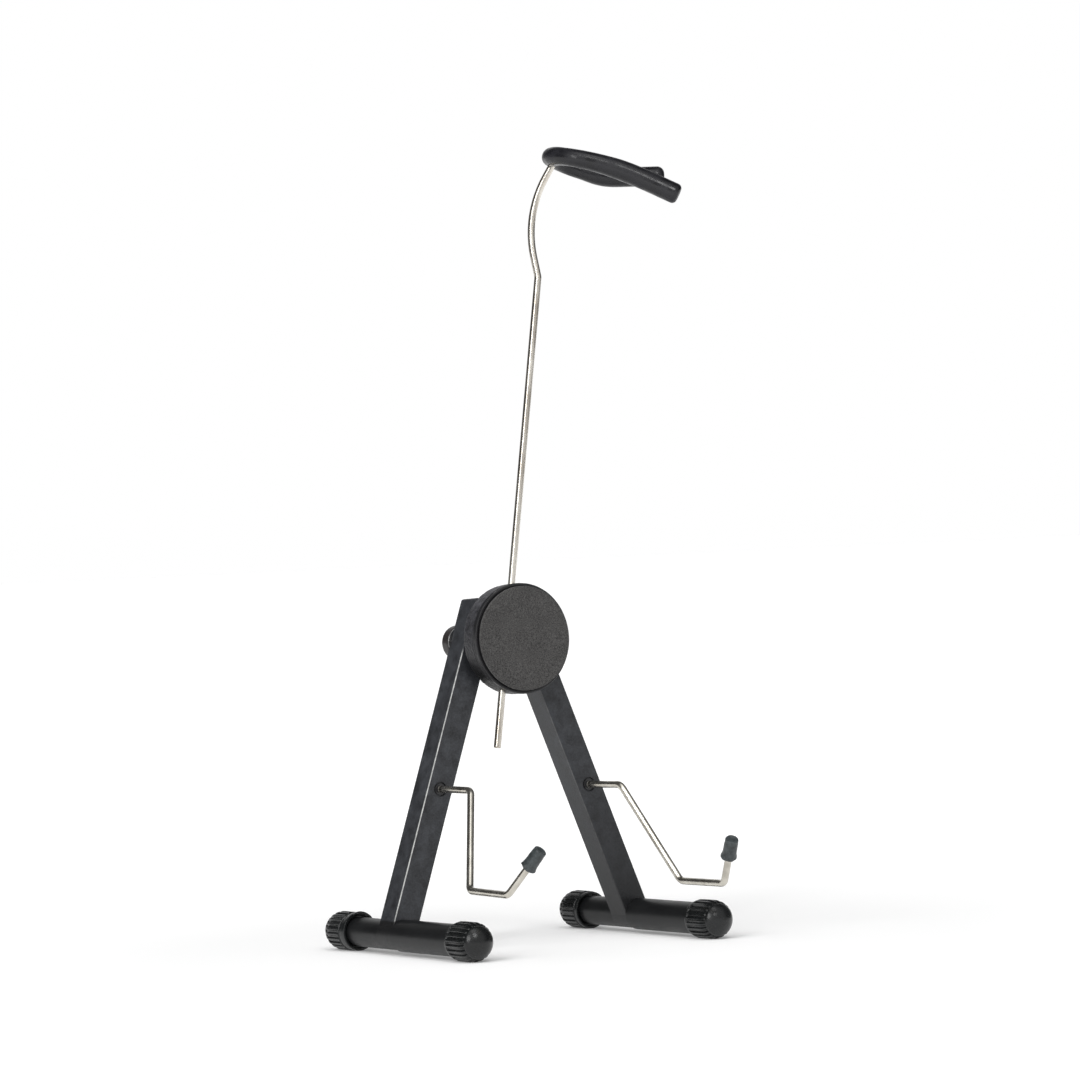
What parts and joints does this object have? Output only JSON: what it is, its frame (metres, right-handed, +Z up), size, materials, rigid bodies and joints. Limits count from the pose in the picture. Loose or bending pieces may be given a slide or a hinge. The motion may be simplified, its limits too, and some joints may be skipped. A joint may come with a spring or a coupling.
{
  "type": "folding miniature guitar stand",
  "caption": "Folding A-frame stand for a miniature display guitar: padded round hub, sliding rod with a U-shaped neck yoke, bent wire arms with rubber tips, capped foot bars.",
  "frame": {"origin": "on the floor, under the middle of the whole stand's bounding box", "axes": "+Z up; -Y forwards, the way the arms and the pad face; +X to the right as seen from the front"},
  "size_m": [0.0904, 0.0922, 0.2056],
  "materials": {
    "leg_plastic": "satin",
    "foot_plastic": "satin",
    "cap_plastic": "satin",
    "drum_plastic": "rough, cast texture",
    "rim_plastic": "satin",
    "foam": "matte closed-cell foam",
    "wire_steel": "bright drawn",
    "yoke_tube": "glossy",
    "tip_rubber": "matte",
    "knob_plastic": "satin",
    "brass": "machined",
    "fastener_steel": "zinc plated",
    "washer_nylon": "natural"
  },
  "bodies": {
    "hub": {"hub_carrier": "drum_plastic", "spring_washer": "fastener_steel", "left_pivot_stud": "fastener_steel", "right_pivot_stud": "fastener_steel", "left_leg_washer": "washer_nylon", "right_leg_washer": "washer_nylon"},
    "drum": {"hub_drum": "drum_plastic", "rim_plate": "rim_plastic", "foam_pad": "foam", "hub_screw": "fastener_steel", "hub_nut": "fastener_steel"},
    "bush": {"rod_bush": "washer_nylon"},
    "rod": {"neck_rod": "wire_steel", "yoke_core": "wire_steel", "yoke_sleeve": "yoke_tube"},
    "left_leg": {"left_leg": "leg_plastic", "left_foot_bar": "foot_plastic", "left_foot_sleeve": "foot_plastic", "left_front_cap": "cap_plastic", "left_rear_cap": "cap_plastic"},
    "left_arm": {"left_arm": "wire_steel", "left_arm_tip": "tip_rubber", "left_arm_clip": "fastener_steel"},
    "left_knob": {"left_knob": "knob_plastic", "left_knob_insert": "brass"},
    "right_leg": {"right_leg": "leg_plastic", "right_foot_bar": "foot_plastic", "right_foot_sleeve": "foot_plastic", "right_front_cap": "cap_plastic", "right_rear_cap": "cap_plastic"},
    "right_arm": {"right_arm": "wire_steel", "right_arm_tip": "tip_rubber", "right_arm_clip": "fastener_steel"},
    "right_knob": {"right_knob": "knob_plastic", "right_knob_insert": "brass"}
  },
  "joints": [
    {"name": "drum_swivel", "type": "hinge", "parent": "hub", "child": "drum", "pos_m": [-0.00441, 0.01392, 0.07838], "axis": [0, -0.9993, 0.0366], "range_deg": [-5, 25]},
    {"name": "rod_spin", "type": "hinge", "parent": "drum", "child": "bush", "pos_m": [-0.00707, 0.0089, 0.07903], "axis": [0.1736, 0.0361, 0.9841], "continuous": true},
    {"name": "rod_height", "type": "slide", "parent": "bush", "child": "rod", "axis": [0.1736, 0.0361, 0.9841], "range_m": [-0.04, 0.01]},
    {"name": "left_leg_fold", "type": "hinge", "parent": "hub", "child": "left_leg", "pos_m": [-0.01281, 0.01392, 0.07838], "axis": [0, -0.9993, 0.0366], "range_deg": [-6.5, 22.3]},
    {"name": "left_arm_swivel", "type": "hinge", "parent": "left_leg", "child": "left_arm", "pos_m": [-0.02671, 0.01256, 0.04121], "axis": [0, 0.9993, -0.0366], "range_deg": [-20, 60]},
    {"name": "left_knob_turn", "type": "hinge", "parent": "hub", "child": "left_knob", "pos_m": [-0.01281, 0.02092, 0.07812], "axis": [0, 0.9993, -0.0366], "continuous": true},
    {"name": "right_leg_fold", "type": "hinge", "parent": "hub", "child": "right_leg", "pos_m": [0.00399, 0.01392, 0.07838], "axis": [0, 0.9993, -0.0366], "range_deg": [-6.5, 22.3]},
    {"name": "right_arm_swivel", "type": "hinge", "parent": "right_leg", "child": "right_arm", "pos_m": [0.01849, 0.0125, 0.03962], "axis": [0, -0.9993, 0.0366], "range_deg": [-20, 60]},
    {"name": "right_knob_turn", "type": "hinge", "parent": "hub", "child": "right_knob", "pos_m": [0.00399, 0.02092, 0.07812], "axis": [0, 0.9993, -0.0366], "continuous": true}
  ]
}
